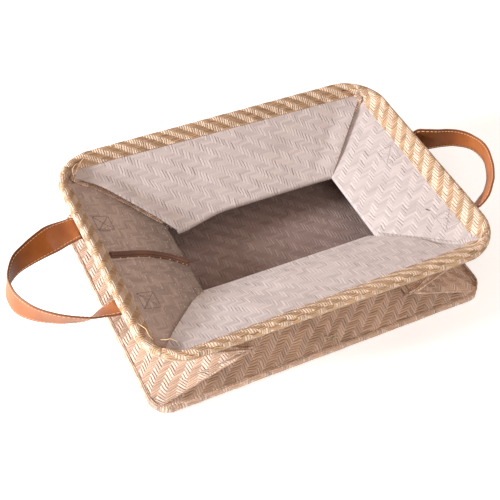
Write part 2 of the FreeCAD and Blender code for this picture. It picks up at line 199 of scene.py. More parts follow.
def tube_parts(path, radii, sides=10, closed=False, cloth_start=0.0, squash=1.0):
    """A round bar along a path, with rounded ends when it is open."""
    path = np.asarray(path, float)
    count = len(path)
    radii = np.broadcast_to(np.asarray(radii, float), (count,)).copy()
    if closed:
        tangent = np.roll(path, -1, 0) - np.roll(path, 1, 0)
    else:
        tangent = np.gradient(path, axis=0)
    tangent /= np.linalg.norm(tangent, axis=1, keepdims=True)
    up = np.array([0.0, 0.0, 1.0])
    side = np.cross(tangent, up)
    lengths = np.linalg.norm(side, axis=1, keepdims=True)
    side = np.where(lengths > 1e-3, side / np.maximum(lengths, 1e-9), np.array([1.0, 0.0, 0.0]))
    lift = np.cross(side, tangent)
    along = np.concatenate([[0], np.cumsum(np.linalg.norm(np.diff(path, axis=0), axis=1))])
    angle = np.linspace(0, 2 * math.pi, sides, endpoint=False)
    ring = (
        path[:, None]
        + side[:, None] * (np.cos(angle)[None, :, None] * radii[:, None, None])
        + lift[:, None] * (np.sin(angle)[None, :, None] * radii[:, None, None] * squash)
    )
    cloth = np.zeros((count, sides, 3))
    cloth[..., 0] = along[:, None] + cloth_start
    cloth[..., 1] = angle[None] * radii[:, None]
    points = ring.reshape(-1, 3)
    coordinates = cloth.reshape(-1, 3)
    faces = []
    last = count if closed else count - 1
    for i in range(last):
        for j in range(sides):
            a = i * sides + j
            b = i * sides + (j + 1) % sides
            c = ((i + 1) % count) * sides + (j + 1) % sides
            d = ((i + 1) % count) * sides + j
            faces.append([a, b, c, d])
    if not closed:
        for end, sign in ((0, -1), (count - 1, 1)):
            points = np.concatenate([points, [path[end] + sign * tangent[end] * radii[end] * 0.6]])
            coordinates = np.concatenate([coordinates, [cloth[end, 0]]])
            tip = len(points) - 1
            for j in range(sides):
                faces.append([end * sides + j, end * sides + (j + 1) % sides, tip])
    return points, faces, coordinates


# ---------------------------------------------------------------- materials
class Nodes:
    """Short names for the shader nodes that the materials are built from."""

    def __init__(self, tree):
        self.tree = tree

    def add(self, kind, inputs=None, **settings):
        node = self.tree.nodes.new(kind)
        for key, value in settings.items():
            setattr(node, key, value)
        for key, value in (inputs or {}).items():
            self.plug(value, node.inputs[key])
        return node

    def plug(self, value, socket):
        if isinstance(value, bpy.types.NodeSocket):
            self.tree.links.new(value, socket)
        else:
            socket.default_value = value

    def math(self, operation, *values):
        node = self.tree.nodes.new("ShaderNodeMath")
        node.operation = operation
        for socket, value in zip(node.inputs, values):
            self.plug(value, socket)
        return node.outputs[0]

    def times(self, a, b):
        return self.math("MULTIPLY", a, b)

    def plus(self, a, b):
        return self.math("ADD", a, b)

    def minus(self, a, b):
        return self.math("SUBTRACT", a, b)

    def over(self, a, b):
        return self.math("DIVIDE", a, b)

    def vector(self, operation, *values):
        return self.add("ShaderNodeVectorMath", dict(enumerate(values)), operation=operation).outputs[0]

    def scaled(self, colour, factor):
        inputs = {0: colour, "Scale": factor}
        return self.add("ShaderNodeVectorMath", inputs, operation="SCALE").outputs[0]

    def split(self, vector):
        return self.add("ShaderNodeSeparateXYZ", {0: vector}).outputs

    def mix(self, factor, a, b, kind="RGBA"):
        node = self.tree.nodes.new("ShaderNodeMix")
        node.data_type = kind
        if kind == "RGBA":
            sockets = (node.inputs[0], node.inputs[6], node.inputs[7])
            out = node.outputs[2]
        else:
            sockets = (node.inputs[0], node.inputs[2], node.inputs[3])
            out = node.outputs[0]
        for socket, value in zip(sockets, (factor, a, b)):
            self.plug(value, socket)
        return out

    def combine(self, x, y, z=0.0):
        node = self.tree.nodes.new("ShaderNodeCombineXYZ")
        for socket, value in zip(node.inputs, (x, y, z)):
            self.plug(value, socket)
        return node.outputs[0]

    def noise(self, vector, scale, detail=2.0, rough=0.5):
        return self.add(
            "ShaderNodeTexNoise",
            {"Vector": vector, "Scale": scale, "Detail": detail, "Roughness": rough},
        )

    def white(self, vector):
        return self.add("ShaderNodeTexWhiteNoise", {"Vector": vector}, noise_dimensions="3D")

    def ramp(self, value, low, high):
        return self.add(
            "ShaderNodeMapRange",
            {"Value": value, "From Min": low, "From Max": high},
            interpolation_type="SMOOTHSTEP",
        ).outputs[0]

    def bump(self, shader, strength, distance, height):
        inputs = {"Strength": strength, "Distance": distance, "Height": height}
        self.plug(self.add("ShaderNodeBump", inputs).outputs[0], shader.inputs["Normal"])

    def cloth(self):
        return self.add("ShaderNodeAttribute", attribute_name="cloth").outputs["Vector"]


def new_material(name):
    material = bpy.data.materials.new(name)
    material.use_nodes = True
    tree = material.node_tree
    tree.nodes.clear()
    nodes = Nodes(tree)
    shader = nodes.add("ShaderNodeBsdfPrincipled")
    output = nodes.add("ShaderNodeOutputMaterial")
    tree.links.new(shader.outputs[0], output.inputs[0])
    return material, nodes, shader


def weave_material(name, warp_tone, weft_tone, gap, dark=0.72, pitch=(2.9, 2.5), floats=4, relief=0.55,
                   fuzz=0.5, patch=0.35, gap_floor=0.25, painted_crease_shade_and_pinhole_light=0.0, vary=0.3, gleam=0.0,
                   gleam_tone=(1.0, 0.9, 0.8), weft_gap=1.0, weft_relief=1.0):
    """Twill of flat straw yarns: long floats along and across the cloth in stepped diagonal bands."""
    material, n, shader = new_material(name)
    cloth = n.cloth()
    wander = n.noise(cloth, 0.05, 2.0)
    offset = n.vector("SUBTRACT", wander.outputs["Color"], (0.5, 0.5, 0.5))
    moved = n.vector("MULTIPLY_ADD", offset, (5.0, 5.0, 0.0), cloth)
    axes = n.split(moved)
    a, b = n.over(axes[0], pitch[0]), n.over(axes[1], pitch[1])
    i, j = n.math("FLOOR", a), n.math("FLOOR", b)
    fa, fb = n.minus(a, i), n.minus(b, j)
    step = n.plus(i, j)
    repeat = 2.0 * floats
    k = n.math("FLOORED_MODULO", step, repeat)
    band = n.math("FLOOR", n.over(step, repeat))
    warp = n.math("LESS_THAN", k, floats - 0.5)
    across = n.mix(warp, fb, fa, "FLOAT")
    along_warp = n.over(n.plus(k, fb), float(floats))
    along_weft = n.over(n.plus(n.minus(k, float(floats)), fa), float(floats))
    along = n.mix(warp, along_weft, along_warp, "FLOAT")
    yarn = n.mix(warp, j, i, "FLOAT")
    piece = n.white(n.combine(yarn, band, n.times(warp, 17.3)))
    draws = n.split(piece.outputs["Color"])
    whole = n.white(n.combine(yarn, n.times(warp, 5.7), 3.1)).outputs["Value"]
    # the gap beside each float: its width and depth change from float to float
    width = n.plus(n.times(draws[0], 0.2), 0.24)
    inside = n.ramp(n.over(across, width), 0.15, 1.0)
    far = n.ramp(n.minus(1.0, across), 0.0, 0.16)
    deep = n.plus(n.times(n.math("POWER", draws[1], 1.6), 1.0 - gap_floor), gap_floor)
    middle = n.math("SINE", n.times(n.math("MINIMUM", n.math("MAXIMUM", along, 0.0), 1.0), math.pi))
    reach = n.ramp(middle, 0.0, 0.55)
    open_gap = n.times(n.minus(1.0, inside), n.times(deep, reach))
    open_gap = n.times(open_gap, n.mix(warp, weft_gap, 1.0, "FLOAT"))
    crown = n.math("POWER", n.math("MAXIMUM", n.math("SINE", n.times(across, math.pi)), 0.001), 0.6)
    rise = n.math("POWER", n.math("MAXIMUM", middle, 0.001), 0.3)
    height = n.times(n.times(crown, far), n.plus(n.times(rise, 0.7), 0.3))
    strength = n.minus(1.0, n.times(n.minus(1.0, draws[1]), vary))
    height = n.times(height, n.times(strength, n.mix(warp, weft_relief, 1.0, "FLOAT")))
    weft_fibre = n.vector("MULTIPLY", moved, (0.25, 2.6, 1.0))
    warp_fibre = n.vector("MULTIPLY", moved, (2.6, 0.25, 1.0))
    stretched = n.mix(warp, weft_fibre, warp_fibre)
    fibre = n.noise(stretched, 1.0, 3.0, 0.6).outputs["Fac"]
    mottle = n.noise(cloth, 0.022, 3.0).outputs["Fac"]
    tone = n.times(draws[2], 0.5)
    tone = n.plus(tone, n.times(whole, 0.25))
    tone = n.plus(tone, n.times(fibre, 0.5))
    tone = n.minus(tone, 0.1)
    tone = n.plus(tone, n.times(n.minus(mottle, 0.5), patch * 2))
    base = n.mix(warp, (*weft_tone, 1.0), (*warp_tone, 1.0))
    shade = n.mix(n.ramp(tone, 0.05, 0.95), dark, 1.12, "FLOAT")
    colour = n.scaled(base, shade)
    colour = n.mix(n.times(open_gap, 0.92), colour, (*gap, 1.0))
    # Painted highlight: a pale line along the crown of some warp floats.
    if gleam:
        lit = n.times(n.ramp(crown, 0.7, 1.0), n.times(reach, warp))
        lit = n.times(lit, n.math("GREATER_THAN", draws[2], 0.45))
        colour = n.mix(n.times(lit, gleam), colour, (*gleam_tone, 1.0))
    # Painted shade and light: the lining darkens down the wall towards the crease, and pale dots of painted
    # light stand for light showing through pinholes in the weave.
    if painted_crease_shade_and_pinhole_light:
        painted_crease_shade = n.ramp(n.split(cloth)[0], 40.0, 92.0)
        colour = n.scaled(colour, n.minus(1.0, n.times(painted_crease_shade, 0.42)))
        spots = n.add("ShaderNodeTexVoronoi", {"Vector": cloth, "Scale": 0.32}, feature="F1")
        dot = n.minus(1.0, n.ramp(spots.outputs["Distance"], 0.05, 0.22))
        chance = n.split(spots.outputs["Color"])[0]
        dot = n.times(dot, n.math("GREATER_THAN", chance, 0.45))
        colour = n.mix(n.times(dot, painted_crease_shade_and_pinhole_light), colour, (0.95, 0.86, 0.78, 1.0))
    n.plug(colour, shader.inputs["Base Color"])
    n.plug(n.mix(fibre, 0.9, 0.72, "FLOAT"), shader.inputs["Roughness"])
    shader.inputs["Specular IOR Level"].default_value = 0.25
    relief_height = n.plus(height, n.times(fibre, 0.3 * fuzz))
    relief_height = n.plus(relief_height, n.times(draws[2], 0.3))
    relief_height = n.minus(relief_height, n.times(open_gap, 0.5))
    n.bump(shader, relief, 0.0012, relief_height)
    return material


def leather_material(name, face, worn, edge=(0.2, 0.06, 0.02), shade=None):
    """Leatherette with fine grain and a worn tone; shade, given as (start, end, first, last) along the strap,
    scales the tone from first to last: painted shade.
    """
    material, n, shader = new_material(name)
    cloth = n.cloth()
    grain = n.add("ShaderNodeTexVoronoi", {"Vector": cloth, "Scale": 1.3}, feature="F1")
    fine = n.noise(cloth, 0.8, 4.0, 0.6)
    mottle = n.noise(cloth, 0.05, 3.0)
    tone = n.mix(n.ramp(mottle.outputs["Fac"], 0.35, 0.7), (*face, 1.0), (*worn, 1.0))
    axes = n.split(cloth)
    rim = n.ramp(n.math("ABSOLUTE", axes[1]), 11.6, 13.0)
    tone = n.mix(rim, tone, (*edge, 1.0))
    tone = n.mix(n.times(fine.outputs["Fac"], 0.35), tone, (*worn, 1.0))
    # painted shade along the strap: the tone is scaled from first to last between start and end
    if shade:
        shader.inputs["Specular IOR Level"].default_value = 0.15
        start, end, first, last = shade
        tone = n.scaled(tone, n.mix(n.ramp(axes[0], start, end), first, last, "FLOAT"))
    n.plug(tone, shader.inputs["Base Color"])
    n.plug(n.mix(fine.outputs["Fac"], 0.34, 0.58, "FLOAT"), shader.inputs["Roughness"])
    height = n.plus(grain.outputs["Distance"], n.times(fine.outputs["Fac"], 0.6))
    n.bump(shader, 0.18, 0.0004, height)
    return material


def grain_material(name, light, dark, scale, rough, metallic=0.0):
    """Fibreboard, thread or wire: two tones of stretched grain."""
    material, n, shader = new_material(name)
    place = n.add("ShaderNodeTexCoord").outputs["Object"]
    grain = n.noise(place, scale, 4.0, 0.65).outputs["Fac"]
    n.plug(n.mix(n.ramp(grain, 0.3, 0.7), (*dark, 1.0), (*light, 1.0)), shader.inputs["Base Color"])
    n.plug(n.mix(grain, rough, rough + 0.15, "FLOAT"), shader.inputs["Roughness"])
    shader.inputs["Metallic"].default_value = metallic
    n.bump(shader, 0.3, 0.0002, grain)
    return material


OUTER = weave_material(
    "outer weave", (0.70, 0.53, 0.43), (0.60, 0.42, 0.31), (0.13, 0.06, 0.035), pitch=(2.7, 2.35), relief=0.7,
    gap_floor=0.35, patch=0.5, gleam=0.25, gleam_tone=(0.82, 0.66, 0.55), weft_gap=0.6, weft_relief=0.8,
)
RIM = weave_material(
    "rim weave", (0.74, 0.56, 0.42), (0.56, 0.37, 0.23), (0.13, 0.06, 0.03), pitch=(2.4, 2.3), relief=0.8,
    gap_floor=0.25, patch=0.5, gleam=0.4, gleam_tone=(0.86, 0.71, 0.57),
)
LINING = weave_material(
    "lining weave", (0.53, 0.47, 0.46), (0.515, 0.455, 0.445), (0.14, 0.11, 0.105), dark=0.88,
    pitch=(2.9, 2.6), relief=0.2, patch=0.15, gap_floor=0.2, vary=0.6, gleam=0.4,
    gleam_tone=(0.68, 0.62, 0.60), weft_gap=0.12, weft_relief=0.4,
)
# Darker copy of the lining for the left wall, which faces away from the light: painted shade, with painted
# pinhole light.
SHADED_LINING = weave_material(
    "lining weave in painted shade, with painted pinhole light", (0.46, 0.365, 0.325), (0.44, 0.345, 0.305), (0.2, 0.14, 0.12), dark=0.8,
    pitch=(2.9, 2.6), relief=0.12, patch=0.5, gap_floor=0.03, vary=0.9, painted_crease_shade_and_pinhole_light=0.8, gleam=0.15,
    gleam_tone=(0.56, 0.47, 0.43), weft_gap=0.3, weft_relief=0.5,
)
# Darker, browner copy of the lining for the floor, standing for the shade deep inside the bin: painted shade.
FLOOR_LINING_PAINTED_SHADE = weave_material(
    "floor lining weave in painted shade", (0.33, 0.245, 0.225), (0.29, 0.21, 0.19), (0.10, 0.065, 0.055), dark=0.85,
    pitch=(2.9, 2.6), relief=0.35, patch=0.15, gap_floor=0.15, vary=0.6, gleam=0.4,
    gleam_tone=(0.42, 0.32, 0.29), weft_gap=0.3, weft_relief=0.5,
)
# Copies of the strap leather for the inner faces, with painted shade along them: the left one darkens towards
# its front end, the right one is darkest at its back end.
INNER_STRAP_PAINTED_SHADE = {
    side: leather_material(f"inner strap in painted shade, {side}", (0.36, 0.105, 0.02), worn, (0.12, 0.035, 0.012), shade)
    for side, worn, shade in (
        ("left", (0.44, 0.14, 0.035), (20.0, 105.0, 1.0, 0.2)),
        ("right", (0.46, 0.15, 0.04), (15.0, 80.0, 0.28, 1.0)),
    )
}
STRAP = leather_material("strap leatherette", (0.31, 0.088, 0.02), (0.38, 0.125, 0.036), (0.13, 0.036, 0.014))
BINDING = leather_material("binding leatherette", (0.10, 0.04, 0.025), (0.17, 0.075, 0.045))
BOARD = grain_material("fibreboard", (0.34, 0.30, 0.25), (0.22, 0.19, 0.16), 900.0, 0.8)
WIRE = grain_material("drawn wire", (0.62, 0.62, 0.63), (0.42, 0.42, 0.44), 1500.0, 0.3, 1.0)
THREAD = grain_material("sewing thread", (0.27, 0.21, 0.18), (0.18, 0.14, 0.12), 2500.0, 0.8)
MATCHED_THREAD = grain_material("matched thread", (0.50, 0.45, 0.44), (0.42, 0.37, 0.36), 2500.0, 0.8)
PALE_THREAD = grain_material("pale thread", (0.85, 0.62, 0.40), (0.62, 0.36, 0.18), 2500.0, 0.7)
CORD = grain_material("edge cord", (0.60, 0.50, 0.36), (0.38, 0.27, 0.17), 1200.0, 0.85)


def finish_piece(obj, slot, *nodes):
    if nodes:
        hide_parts(*nodes)
    return obj


# ---------------------------------------------------------------- front and back half walls
def turn_cloth(obj, sides_only=False):
    """Lay the warp of a piece's cloth along the bin's width, as on the front and back."""
    data = obj.data.attributes["cloth"].data
    values = np.zeros(len(data) * 3)
    data.foreach_get("vector", values)
    values = values.reshape(-1, 3)
    spots = np.zeros(len(data) * 3)
    obj.data.vertices.foreach_get("co", spots)
    spots = np.abs(spots.reshape(-1, 3))
    turned = spots[:, 0] - (HALF_X - HALF_Y) * MM > spots[:, 1] if sides_only else np.full(len(data), True)
    values[turned] = values[turned][:, [1, 0, 2]]
    data.foreach_set("vector", values.ravel())


def wall_axes(wall, half):
    """Origin, length, slope and inward axes of a half wall, as in the CAD frame."""
    side = wall in ("left", "right")
    lean = SIDE_LEAN if side else FRONT_LEAN
    reach = HALF_X if side else HALF_Y
    sine, cosine = math.sin(lean), math.cos(lean)
    if half == "upper":
        height = SIDE_TOP if side else FRONT_TOP
        axes = np.array([(1, 0, 0), (0, sine, -cosine), (0, cosine, sine)])
    else:
        height = SIDE_LOW if side else FRONT_LOW
        axes = np.array([(-1, 0, 0), (0, sine, cosine), (0, cosine, -sine)])
    turn = np.array(Matrix.Rotation(math.radians(WALL_TURN[wall]), 3, "Z"))
    origin = turn @ np.array([0, -reach, height])
    return origin, (turn @ axes[0]), (turn @ axes[1]), (turn @ axes[2])


def on_wall(axes, u, v, w):
    """Points at lengths u along a half wall, v down its slope and w inwards."""
    origin, x_axis, y_axis, z_axis = axes
    u, v, w = np.broadcast_arrays(u, v, w)
    return origin + u[..., None] * x_axis + v[..., None] * y_axis + w[..., None] * z_axis


def corner_limit(inset, corner):
    """How far a wall can reach towards its end, at a distance inside the rounded corner's outline."""
    inset = np.clip(inset, 0.0, corner)
    return HALF_X - corner + np.sqrt(np.maximum(corner**2 - (corner - inset) ** 2, 0))


def profile_rows(length, nose):
    """Slope position and turn about the hinge or crease for each row of a panel's grid."""
    first = 0.0 if nose else LINING_START
    rows = [(0.0, -angle) for angle in np.linspace(nose, 0, 7)[:-1]] if nose else []
    rows += [(v, 0.0) for v in np.linspace(first, length, int(length / 2.4))]
    rows += [(length, angle) for angle in np.linspace(0, CAP_TURN, 8)[1:]]
    return rows


MITRE_LIFT = {("back", -1): 4.6, ("back", 1): 3.2, ("front", -1): 2.6, ("front", 1): 0.8}
MITRE_TRIM = {("back", -1): 7.0, ("back", 1): 0.5, ("front", -1): 0.0, ("front", 1): 9.0}
CREASE_THICKNESS = {"front": 0.3, "back": 1.0}


def thinned(depth, v, length, least):
    """Depth below the outer face, thinned towards the crease where there is no board."""
    return depth * (1 - (1 - least) * smooth((v - (length - 26)) / 24))


def cloth_axes(u, v, half, length):
    """Coordinates that run on over the crease: along the wall, and down from the rim."""
    return (u, v) if half == "upper" else (-u, 2 * length - v)


def long_wall_grid(wall, half, depth, nose=NOSE_TURN, trim=0.0):
    """Grid of a front or back half wall at a depth below its outer face."""
    seed, columns = wall_seed(wall, half), 131
    axes = wall_axes(wall, half)
    corner = RIM_CORNER - 5.0 if half == "upper" else base_corner(1 if wall == "back" else -1) - 1.4
    rows = profile_rows(FRONT_HALF, nose)
    across = np.sin(np.linspace(-1, 1, columns) * math.pi / 2)
    points = np.zeros((len(rows), columns, 3))
    cloth = np.zeros((len(rows), columns, 3))
    end_signs = np.sign(across) * axes[1][0]
    lifts = np.where(end_signs < 0, MITRE_LIFT[wall, -1], MITRE_LIFT[wall, 1])
    trims = np.where(end_signs < 0, MITRE_TRIM[wall, -1], MITRE_TRIM[wall, 1])
    for row, (v, turn) in enumerate(rows):
        mitre = HALF_X - v * SIDE_REACH / FRONT_HALF - trims * smooth((v - 8) / 30)
        if wall == "front" and half == "upper":
            mitre = mitre - 12 * math.exp(-(((v - 29) / 18) ** 2)) * (end_signs > 0)
        inset = v * math.sin(FRONT_LEAN) + 1.5
        limit = float(corner_limit(inset, corner)) + (2.0 if half == "upper" else 0.0)
        reach = np.minimum(mitre, limit) - trim
        u = across * reach
        edge = (1 - np.abs(across)) * reach * 0.73
        raise_edge = lifts * smooth(1 - edge / 20) * smooth((v - 10) / 30) * smooth((FRONT_HALF + 8 - v) / 30)
        body = math.sin(math.pi * v / FRONT_HALF) if turn == 0 else 0.0
        swell = (0.9 * ripple(u, v, seed, 90.0) + 0.6) * body
        w = thinned(depth, v, FRONT_HALF, CREASE_THICKNESS[wall]) + raise_edge + swell
        place = on_wall(axes, u, v + np.sin(turn) * w, np.cos(turn) * w)
        if wall == "back" and half == "upper":
            tip = on_wall(axes, HALF_X - SIDE_REACH - 4, FRONT_HALF, 0.0)
            near = smooth(1 - np.linalg.norm(place - tip, axis=1) / 72)
            place = place + near[:, None] * np.array([5.0, -8.5, -3.0])
        points[row] = place
        cloth[row, :, 0], cloth[row, :, 1] = cloth_axes(u, v + turn * PANEL, half, FRONT_HALF)
        cloth[row, :, 2] = CLOTH_SEED[wall]
    return points, cloth


def make_long_wall(wall, half):
    body = f"{wall}_{half}"
    low, cloth = long_wall_grid(wall, half, 0.1, trim=0.6)
    high, _ = long_wall_grid(wall, half, COVER, trim=0.6)
    cover = mesh_object(f"{body}_cover.cloth", *slab_parts(low, high, cloth), [OUTER])
    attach(finish_piece(cover, "outer_weave", f"{body}_cover"), body)
    low, cloth = long_wall_grid(wall, half, COVER, 0.0)
    high, _ = long_wall_grid(wall, half, PANEL, 0.0)
    lining = mesh_object(f"{body}_lining.cloth", *slab_parts(low, high, cloth), [LINING])
    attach(finish_piece(lining, "lining_weave", f"{body}_lining"), body)


# ---------------------------------------------------------------- left and right half walls
def side_outline(q, reach, corner, end_length):
    """Plan point of a rounded corner outline: q runs 0 to 1 on the straight and 1 to 2 round the corner."""
    straight = end_length - corner
    theta = np.clip(q - 1, 0, 1) * math.pi / 2
    x = np.where(q <= 1, reach, reach - corner + corner * np.cos(theta))
    y = np.where(q <= 1, np.clip(q, 0, 1) * straight, straight + corner * np.sin(theta))
    return x, y, theta


# How far each side crease's tip is moved inwards and endwards: the front corners are pulled in.
TIP_SHIFT = {
    ("left", -1): (-11.0, -2.0), ("right", -1): (-3.5, 0.0),
    ("left", 1): (0.0, 0.0), ("right", 1): (0.0, 0.0),
}


def side_wall_grid(side, half, end, depth, q_end=FOLD_END, nose=NOSE_TURN, q=None, rows=None, sink=0.0):
    """Grid of one end of a left or right half wall: flat, then turning with the corner up to its tip."""
    seed = wall_seed(side, half)
    rows = profile_rows(SIDE_HALF, nose) if rows is None else rows
    if q is None:
        flat = np.linspace(0, 1, 32)
        bend = 1 + np.linspace(0, 1, 33)[1:] * (q_end - 1)
        q = np.concatenate([flat, bend])
    corner = RIM_CORNER - 5.0 if half == "upper" else base_corner(end) - 1.4
    hinge_x, hinge_y, theta = side_outline(q, HALF_X, corner, HALF_Y)
    tip_x, tip_y, _ = side_outline(q, HALF_X - SIDE_REACH, TIP_CORNER, HALF_Y - TIP_GAP)
    if side == "right" and half == "lower":
        hinge_x = hinge_x - RIGHT_SHORT
    shift = TIP_SHIFT[side, end]
    tip_x = tip_x + shift[0] * smooth((q - 0.8) / 0.5)
    tip_y = tip_y + shift[1] * smooth((q - 0.8) / 0.5)
    side_z, front_z = (SIDE_TOP, FRONT_TOP) if half == "upper" else (SIDE_LOW, FRONT_LOW)
    hinge_z = side_z + (front_z - side_z) * smooth(theta / (math.pi / 2))
    hinge = np.stack([hinge_x, hinge_y, hinge_z], -1)
    tip = np.stack([tip_x, tip_y, np.full_like(q, CREASE_Z)], -1)
    lean = SIDE_LEAN * (1 - 0.8 * theta / (math.pi / 2))
    sign = 1.0 if half == "upper" else -1.0
    normal = np.stack(
        [-np.cos(lean) * np.cos(theta), -np.cos(lean) * np.sin(theta), sign * np.sin(lean)], -1
    )
    slope = tip - hinge
    slope /= np.linalg.norm(slope, axis=-1, keepdims=True)
    along = np.where(q <= 1, q * (HALF_Y - corner), HALF_Y - corner + theta * corner)
    tip_run = HALF_Y - TIP_GAP - TIP_CORNER
    along_tip = np.where(q <= 1, q * tip_run, tip_run + theta * 6)
    points = np.zeros((len(rows), len(q), 3))
    cloth = np.zeros((len(rows), len(q), 3))
    for row, (v, turn) in enumerate(rows):
        t = v / SIDE_HALF
        body = math.sin(math.pi * t) if turn == 0 else 0.0
        centre = hinge + (tip - hinge) * t
        u = along + (along_tip - along) * t
        swell = (0.8 * ripple(u * end, v, seed, 80.0) + 0.7) * body * smooth((2 - q) / 0.8)
        sunk = 1 - sink * smooth((q - 0.55) / 0.2) * smooth((v - 50) / 25)
        w = thinned(depth, v, SIDE_HALF, 0.85) * sunk + swell
        points[row] = centre + slope * (np.sin(turn) * w)[:, None] + normal * (np.cos(turn) * w)[:, None]
        cloth[row, :, 0], cloth[row, :, 1] = cloth_axes(u * end, v + turn * PANEL, half, SIDE_HALF)
        if half == "lower":
            cloth[row, :, 0] *= -1
        cloth[row, :, 2] = CLOTH_SEED[side]
    mirror = np.array([-1.0 if side == "left" else 1.0, -1.0 if end < 0 else 1.0, 1.0])
    return points * mirror, cloth


def corner_blend(obj):
    """Bakes the piece's placement into its mesh; it is not attached to any body."""
    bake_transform(obj)


def fold_bead(side, half, end):
    """Rounded fold where the side wall's cloth turns back into the gusset."""
    grid, _ = side_wall_grid(side, half, end, 1.0)
    path = grid[8:-7, -1]
    taper = np.linspace(0.6, 1.0, len(path)) * 1.2
    points, faces, coordinates = tube_parts(path, taper, 10)
    return points, faces, coordinates[:, [1, 0, 2]]


def make_side_wall(side, half):
    body = f"{side}_{half}"
    for end in (-1, 1):
        place = place_name(end)
        low, cloth = side_wall_grid(side, half, end, 0.1)
        high, _ = side_wall_grid(side, half, end, COVER)
        parts = join_parts([slab_parts(low, high, cloth), fold_bead(side, half, end)])
        cover = mesh_object(f"{body}_cover.{place}", *parts, [OUTER])
        turn_cloth(cover)
        corner_blend(finish_piece(cover, "outer_weave", f"{body}_cover"))
        low, cloth = side_wall_grid(side, half, end, COVER, 1.25, 0.0, sink=0.75)
        high, _ = side_wall_grid(side, half, end, PANEL, 1.25, 0.0, sink=0.75)
        # The left wall's lining takes the copy in painted shade.
        material = SHADED_LINING if side == "left" else LINING
        lining = mesh_object(f"{body}_lining.{place}", *slab_parts(low, high, cloth), [material])
        turn_cloth(lining)
        corner_blend(finish_piece(lining, "lining_weave", f"{body}_lining"))


# ---------------------------------------------------------------- boards
def make_board(wall, half):
    """Stiffener inside a half wall, a little smaller than the cloth round it."""
    axes = wall_axes(wall, half)
    side = wall in ("left", "right")
    length = SIDE_HALF if side else FRONT_HALF
    rows, columns = 12, 24
    v = np.linspace(7.0, length - (8.0 if side else 31.0), rows)
    if side:
        reach = 98.0 + (v / length) * 20.0
    else:
        reach = HALF_X - v * SIDE_REACH / FRONT_HALF - 26.0
    across = np.linspace(-1, 1, columns)
    u = across[None] * reach[:, None]
    down = v[:, None] + 0 * u
    seed = wall_seed(wall, half)
    if side:
        swell = 0.8 * ripple(u * axes[1][1], down, seed, 80.0) + 0.7
    else:
        swell = 0.9 * ripple(u, down, seed, 90.0) + 0.6
    swell = swell * np.sin(math.pi * down / length)
    grids = []
    for depth in (1.4, 2.4):
        grid = on_wall(axes, u, down, depth + swell)
        if wall == "right" and half == "lower":
            grid[..., 0] -= RIGHT_SHORT * (1 - down / length)
        grids.append(grid)
    cloth = np.stack([u, down, 0 * u], -1)
    board = mesh_object(f"{wall}_{half}_board.sheet", *slab_parts(grids[0], grids[1], cloth), [BOARD])
    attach(finish_piece(board, "stiffener_board", f"{wall}_{half}_board"), f"{wall}_{half}")


# ---------------------------------------------------------------- gussets
def make_crease_flap(side, half, end):
    """Spare cloth turned in behind a side wall's crease, which closes the corner when the bin stands up."""
    edge, coordinates = side_wall_grid(
        side, half, end, 0.8, q=np.linspace(0.52, FOLD_END, 40), rows=[(SIDE_HALF, 0.0)]
    )
    edge, coordinates = edge[0], coordinates[0]
    shelf = 1.0 if half == "upper" else -1.0
    width = FLAP_WIDTH * smooth((np.abs(edge[:, 1]) - 58) / 22)
    inwards, down = np.array([1.0 if side == "left" else -1.0, 0.0, 0.0]), np.array([0.0, 1.0, 0.0])
    grids = []
    for lift in (0.25, 0.85):
        rows = []
        for part in np.linspace(0, 1, 7):
            row = edge + inwards * (width * part)[:, None]
            row[:, 2] = CREASE_Z + shelf * (lift + 0.4 * part)
            rows.append(row)
        grids.append(np.array(rows))
    cloth = np.array([coordinates + down * (width * part)[:, None] for part in np.linspace(0, 1, 7)])
    place = place_name(end)
    flap = mesh_object(f"{side}_{half}_cover.{place}_flap", *slab_parts(grids[0], grids[1], cloth), [OUTER])
    turn_cloth(flap)
    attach(finish_piece(flap, "outer_weave", f"{side}_{half}_cover"), f"{side}_{half}")


def make_gusset(side, half, end):
    """Corner cloth folded back over the side wall, up to the end of the front or back wall."""
    place = place_name(end)
    corner = RIM_CORNER - 5.0 if half == "upper" else base_corner(end) - 1.4
    columns = 18
    t = np.linspace(0.03, 0.985, 30)
    straight = (HALF_Y - corner) * (1 - t) + (HALF_Y - TIP_GAP - TIP_CORNER) * t
    inner = np.minimum((HALF_Y - t * FRONT_REACH) / straight, FOLD_END - 0.15)
    grids = []
    for depth in (PANEL + 0.1, PANEL + 1.0):
        rows = []
        for row, start in zip(t, inner):
            q = np.linspace(start, FOLD_END, columns)
            thin = 1 - 0.55 * smooth((np.linspace(0, 1, columns) - 0.6) / 0.4)
            grid, coordinates = side_wall_grid(
                side, half, end, depth * thin, q=q, rows=[(row * SIDE_HALF, 0.0)]
            )
            rows.append((grid[0], coordinates[0]))
        edge, coordinates = rows[-1]
        far = np.abs(edge[:, 1])
        width = smooth((far - 50) / 9) * (15.0 - 7.0 * (far - 50) / 80)
        for part in (0.25, 0.5, 0.75, 1.0):
            row = edge + np.array([1.0 if side == "left" else -1.0, 0.0, 0.0]) * (width * part)[:, None]
            level = CREASE_Z + (1.4 + 0.4 * (depth - PANEL)) * (1.0 if half == "upper" else -1.0)
            row[:, 2] = edge[:, 2] + (level - edge[:, 2]) * part
            rows.append((row, coordinates + np.array([0.0, 1.0, 0.0]) * (width * part)[:, None]))
        grids.append((np.array([row[0] for row in rows]), np.array([row[1] for row in rows])))
    cloth = grids[0][1] * np.array([-1.0, 1.0, 1.0]) + np.array([0, 0, 200.0])
    name = f"{place}_{side}_{half}_gusset"
    gusset = mesh_object(f"{name}.cloth", *slab_parts(grids[0][0], grids[1][0], cloth), [OUTER, LINING])
    for polygon in gusset.data.polygons:
        spot = polygon.index % ((len(cloth) - 1) * (columns - 1))
        polygon.material_index = int(name == "front_right_upper_gusset" and spot % (columns - 1) < 4)
    turn_cloth(gusset)
    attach(finish_piece(gusset, "outer_weave", name), name)


